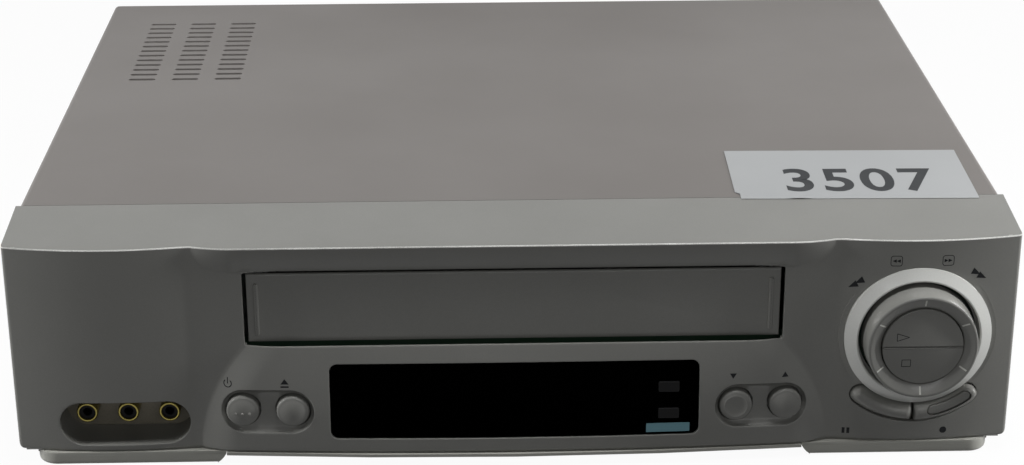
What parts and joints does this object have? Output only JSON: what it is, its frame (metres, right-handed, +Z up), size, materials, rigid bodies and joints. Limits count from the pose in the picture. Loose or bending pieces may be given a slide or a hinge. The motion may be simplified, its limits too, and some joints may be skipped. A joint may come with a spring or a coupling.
{
  "type": "video cassette recorder",
  "caption": "Front-loading video cassette recorder with a hinged cassette door, shuttle dial, front keys, phono jacks and a full tape deck inside",
  "frame": {"origin": "centre of the footprint, at the underside of the feet", "axes": "+X to the user's right, +Y from the front panel to the back, +Z up"},
  "size_m": [0.38, 0.3212, 0.0925],
  "materials": {
    "painted_abs": "silver paint on moulded ABS, satin",
    "bright_abs": "bright silver paint on moulded ABS",
    "painted_steel": "warm grey satin paint on folded steel",
    "smoked_acrylic": "glossy near-black window plastic",
    "grey_abs": "bare light grey ABS, satin",
    "black_plastic": "black moulded plastic",
    "label_paper": "white coated paper",
    "zinc_steel": "zinc-plated steel sheet",
    "jack_metal": "plated brass with a yellow-green ring",
    "circuit_board": "green solder-masked laminate",
    "acetal": "off-white moulded acetal",
    "grey_plastic": "dark grey moulded plastic",
    "aluminium": "turned and polished aluminium",
    "rubber": "ground rubber",
    "tube_glass": "dark glass display tube",
    "bronze": "sintered bronze"
  },
  "bodies": {
    "case": {"top_cover": "painted_steel", "front_panel": "painted_abs", "display_window": "smoked_acrylic", "paper_label": "label_paper", "chassis_tray": "grey_abs", "rear_panel": "zinc_steel", "front_left_foot": "grey_abs", "front_right_foot": "grey_abs", "rear_left_foot": "grey_abs", "rear_right_foot": "grey_abs", "cover_screw_left": "zinc_steel", "cover_screw_right": "zinc_steel", "dial_bezel": "bright_abs", "record_surround": "painted_abs", "control_board": "circuit_board", "display_tube": "tube_glass", "front_jack_block": "grey_plastic", "front_jack_video": "jack_metal", "front_jack_left": "jack_metal", "front_jack_right": "jack_metal", "main_board": "circuit_board", "mains_transformer": "grey_plastic", "smoothing_capacitor": "black_plastic", "heat_sink": "aluminium", "tuner_module": "zinc_steel", "rear_socket_block": "black_plastic", "mains_inlet": "black_plastic", "deck_plate": "zinc_steel", "left_side_plate": "zinc_steel", "right_side_plate": "zinc_steel", "lower_drum": "aluminium", "capstan_bearing": "bronze", "loading_motor": "zinc_steel", "audio_control_head": "grey_plastic"},
    "door": {"cassette_door": "painted_abs"},
    "standby_key": {"standby_button": "painted_abs"},
    "eject_key": {"eject_button": "painted_abs"},
    "channel_down_key": {"channel_down_button": "painted_abs"},
    "channel_up_key": {"channel_up_button": "painted_abs"},
    "menu_key": {"menu_button": "black_plastic"},
    "set_key": {"set_button": "black_plastic"},
    "play_key": {"play_button": "painted_abs"},
    "stop_key": {"stop_button": "painted_abs"},
    "pause_key": {"pause_button": "painted_abs"},
    "record_key": {"record_button": "painted_abs"},
    "shuttle": {"shuttle_ring": "painted_abs"},
    "carriage": {"cassette_carriage": "zinc_steel"},
    "holder": {"cassette_holder": "zinc_steel"},
    "drum": {"upper_drum": "aluminium"},
    "capstan": {"capstan_flywheel": "zinc_steel"},
    "pinch": {"pinch_arm": "zinc_steel"},
    "pinch_wheel": {"pinch_roller": "rubber"},
    "supply_reel": {"supply_reel_table": "acetal"},
    "take_up_reel": {"take_up_reel_table": "acetal"},
    "idler": {"idler_arm": "zinc_steel"},
    "idler_gear": {"idler_wheel": "acetal"},
    "supply_tape_guide": {"supply_guide": "zinc_steel"},
    "take_up_tape_guide": {"take_up_guide": "zinc_steel"},
    "cam": {"cam_gear": "acetal"},
    "tension": {"tension_arm": "zinc_steel"}
  },
  "joints": [
    {"name": "door_hinge", "type": "hinge", "parent": "case", "child": "door", "pos_m": [0, -0.14455, 0.07585], "axis": [1, 0, 0], "range_deg": [0, 90], "stiffness_Nm_per_rad": 0.004},
    {"name": "standby_press", "type": "slide", "parent": "case", "child": "standby_key", "axis": [0, 1, 0], "range_m": [0, 0.001], "stiffness_N_per_m": 300},
    {"name": "eject_press", "type": "slide", "parent": "case", "child": "eject_key", "axis": [0, 1, 0], "range_m": [0, 0.001], "stiffness_N_per_m": 300},
    {"name": "channel_down_press", "type": "slide", "parent": "case", "child": "channel_down_key", "axis": [0, 1, 0], "range_m": [0, 0.001], "stiffness_N_per_m": 300},
    {"name": "channel_up_press", "type": "slide", "parent": "case", "child": "channel_up_key", "axis": [0, 1, 0], "range_m": [0, 0.001], "stiffness_N_per_m": 300},
    {"name": "menu_press", "type": "slide", "parent": "case", "child": "menu_key", "axis": [0, 1, 0], "range_m": [0, 0.001], "stiffness_N_per_m": 300},
    {"name": "set_press", "type": "slide", "parent": "case", "child": "set_key", "axis": [0, 1, 0], "range_m": [0, 0.001], "stiffness_N_per_m": 300},
    {"name": "play_press", "type": "slide", "parent": "case", "child": "play_key", "axis": [0, 1, 0], "range_m": [0, 0.001], "stiffness_N_per_m": 300},
    {"name": "stop_press", "type": "slide", "parent": "case", "child": "stop_key", "axis": [0, 1, 0], "range_m": [0, 0.001], "stiffness_N_per_m": 300},
    {"name": "pause_press", "type": "slide", "parent": "case", "child": "pause_key", "axis": [0, 1, 0], "range_m": [0, 0.001], "stiffness_N_per_m": 300},
    {"name": "record_press", "type": "slide", "parent": "case", "child": "record_key", "axis": [0, 1, 0], "range_m": [0, 0.001], "stiffness_N_per_m": 300},
    {"name": "shuttle_turn", "type": "hinge", "parent": "case", "child": "shuttle", "pos_m": [0.1525, -0.14605, 0.0498], "axis": [0, 1, 0], "range_deg": [-60, 60], "stiffness_Nm_per_rad": 0.02},
    {"name": "carriage_slide", "type": "slide", "parent": "case", "child": "carriage", "axis": [0, 1, 0], "range_m": [0, 0.045]},
    {"name": "holder_drop", "type": "slide", "parent": "carriage", "child": "holder", "axis": [0, 0, -1], "range_m": [0, 0.0179]},
    {"name": "drum_spin", "type": "hinge", "parent": "case", "child": "drum", "pos_m": [-0.005, 0.07495, 0.02702], "axis": [0, 0.1038, 0.9946], "continuous": true},
    {"name": "capstan_spin", "type": "hinge", "parent": "case", "child": "capstan", "pos_m": [0.05, 0.04495, 0.0215], "axis": [0, 0, 1], "continuous": true},
    {"name": "supply_reel_spin", "type": "hinge", "parent": "case", "child": "supply_reel", "pos_m": [-0.046, -0.02405, 0.0238], "axis": [0, 0, 1], "continuous": true},
    {"name": "take_up_reel_spin", "type": "hinge", "parent": "case", "child": "take_up_reel", "pos_m": [0.046, -0.02405, 0.0238], "axis": [0, 0, 1], "continuous": true},
    {"name": "idler_swing", "type": "hinge", "parent": "case", "child": "idler", "pos_m": [0, -0.04805, 0.0238], "axis": [0, 0, 1], "range_deg": [-42, 42]},
    {"name": "idler_wheel_spin", "type": "hinge", "parent": "idler", "child": "idler_gear", "pos_m": [0, -0.02405, 0.0238], "axis": [0, 0, 1], "continuous": true},
    {"name": "cam_gear_turn", "type": "hinge", "parent": "case", "child": "cam", "pos_m": [-0.08, 0.05895, 0.0238], "axis": [0, 0, 1], "range_deg": [0, 150]},
    {"name": "pinch_arm_swing", "type": "hinge", "parent": "case", "child": "pinch", "pos_m": [0.076, 0.03495, 0.0238], "axis": [0, 0, 1], "range_deg": [-35, 0]},
    {"name": "pinch_roller_spin", "type": "hinge", "parent": "pinch", "child": "pinch_wheel", "pos_m": [0.05587, 0.02188, 0.0281], "axis": [0, 0, 1], "continuous": true},
    {"name": "supply_guide_slide", "type": "slide", "parent": "case", "child": "supply_tape_guide", "axis": [-0.1024, 0.9947, 0], "range_m": [0, 0.06836]},
    {"name": "take_up_guide_slide", "type": "slide", "parent": "case", "child": "take_up_tape_guide", "axis": [0.1024, 0.9947, 0], "range_m": [0, 0.06836]},
    {"name": "tension_arm_swing", "type": "hinge", "parent": "case", "child": "tension", "pos_m": [-0.066, 0.00095, 0.0238], "axis": [0, 0, 1], "range_deg": [0, 30], "stiffness_Nm_per_rad": 0.01}
  ],
  "couplings": [
    {"joint": "pinch_arm_swing", "follows": "cam_gear_turn", "ratio": -0.2333},
    {"joint": "supply_guide_slide", "follows": "cam_gear_turn", "m_per_rad": 0.02611},
    {"joint": "take_up_guide_slide", "follows": "cam_gear_turn", "m_per_rad": 0.02611}
  ]
}
